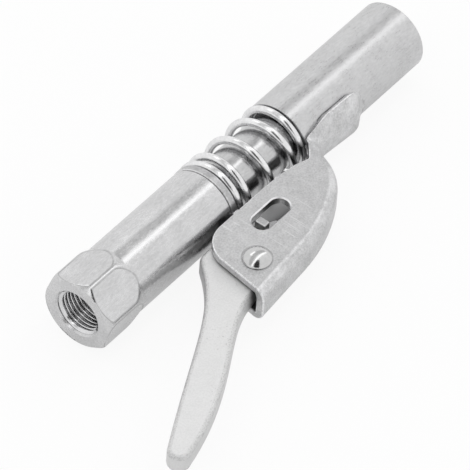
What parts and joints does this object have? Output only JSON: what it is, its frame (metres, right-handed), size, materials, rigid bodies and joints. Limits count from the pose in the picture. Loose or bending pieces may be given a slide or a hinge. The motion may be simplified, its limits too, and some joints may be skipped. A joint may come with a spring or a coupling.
{
  "type": "grease coupler",
  "caption": "Locking grease coupler: threaded hexagon inlet, sprung sleeve that closes gripping jaws on a grease nipple, and a squeeze lever that draws the sleeve back.",
  "frame": {"origin": "centre of the threaded inlet's mouth, on the hexagon's end face", "axes": "+X along the body to the jaws, -Y to the lever, +Z square to the plane that the lever swings in"},
  "size_m": [0.1218, 0.0498, 0.0176],
  "materials": {
    "plated_body": "bright zinc-nickel plate, satin, drawn along the body",
    "plated_sheet": "plated stamped sheet, satin with faint scratches",
    "cast_lever": "plated over a fine cast grain, matte",
    "spring_wire": "bright drawn wire",
    "polished_rivet": "polished dome",
    "jaw_steel": "hardened, dark satin",
    "ball_steel": "ground and polished",
    "black_rubber": "moulded, matte"
  },
  "bodies": {
    "core": {"inlet_body": "plated_body", "stem": "plated_body", "stem_oring": "black_rubber", "anchor_plate": "plated_sheet", "check_spring": "spring_wire", "main_spring": "spring_wire", "seal_washer": "plated_sheet", "nipple_seal": "black_rubber", "jaw_spreader": "black_rubber"},
    "sleeve_set": {"sleeve": "plated_body", "lever_bracket": "plated_sheet", "pivot_rivet": "polished_rivet"},
    "lever_arm": {"lever": "cast_lever"},
    "jaw_1": {"jaw_1": "jaw_steel"},
    "jaw_2": {"jaw_2": "jaw_steel"},
    "jaw_3": {"jaw_3": "jaw_steel"},
    "jaw_4": {"jaw_4": "jaw_steel"},
    "ball": {"check_ball": "ball_steel"}
  },
  "joints": [
    {"name": "sleeve_slide", "type": "slide", "parent": "core", "child": "sleeve_set", "axis": [-1, 0, 0], "range_m": [0, 0.00255], "stiffness_N_per_m": 5000, "springref_m": -0.006, "deforming": ["main_spring"]},
    {"name": "lever_squeeze", "type": "hinge", "parent": "sleeve_set", "child": "lever_arm", "pos_m": [0.032, -0.02, 0], "axis": [0, 0, -1], "range_deg": [0, 26]},
    {"name": "jaw_1_open", "type": "hinge", "parent": "core", "child": "jaw_1", "pos_m": [0.08575, 0.00325, 0.00325], "axis": [0, -0.7071, 0.7071], "range_deg": [0, 1.8]},
    {"name": "jaw_2_open", "type": "hinge", "parent": "core", "child": "jaw_2", "pos_m": [0.08575, -0.00325, 0.00325], "axis": [0, -0.7071, -0.7071], "range_deg": [0, 1.8]},
    {"name": "jaw_3_open", "type": "hinge", "parent": "core", "child": "jaw_3", "pos_m": [0.08575, -0.00325, -0.00325], "axis": [0, 0.7071, -0.7071], "range_deg": [0, 1.8]},
    {"name": "jaw_4_open", "type": "hinge", "parent": "core", "child": "jaw_4", "pos_m": [0.08575, 0.00325, -0.00325], "axis": [0, 0.7071, 0.7071], "range_deg": [0, 1.8]},
    {"name": "ball_lift", "type": "slide", "parent": "core", "child": "ball", "axis": [1, 0, 0], "range_m": [0, 0.0012], "stiffness_N_per_m": 150, "springref_m": -0.004, "deforming": ["check_spring"]}
  ],
  "couplings": [
    {"joint": "lever_squeeze", "follows": "sleeve_slide", "rad_per_m": 177.9},
    {"joint": "jaw_1_open", "follows": "sleeve_slide", "rad_per_m": 12.3},
    {"joint": "jaw_2_open", "follows": "sleeve_slide", "rad_per_m": 12.3},
    {"joint": "jaw_3_open", "follows": "sleeve_slide", "rad_per_m": 12.3},
    {"joint": "jaw_4_open", "follows": "sleeve_slide", "rad_per_m": 12.3}
  ]
}
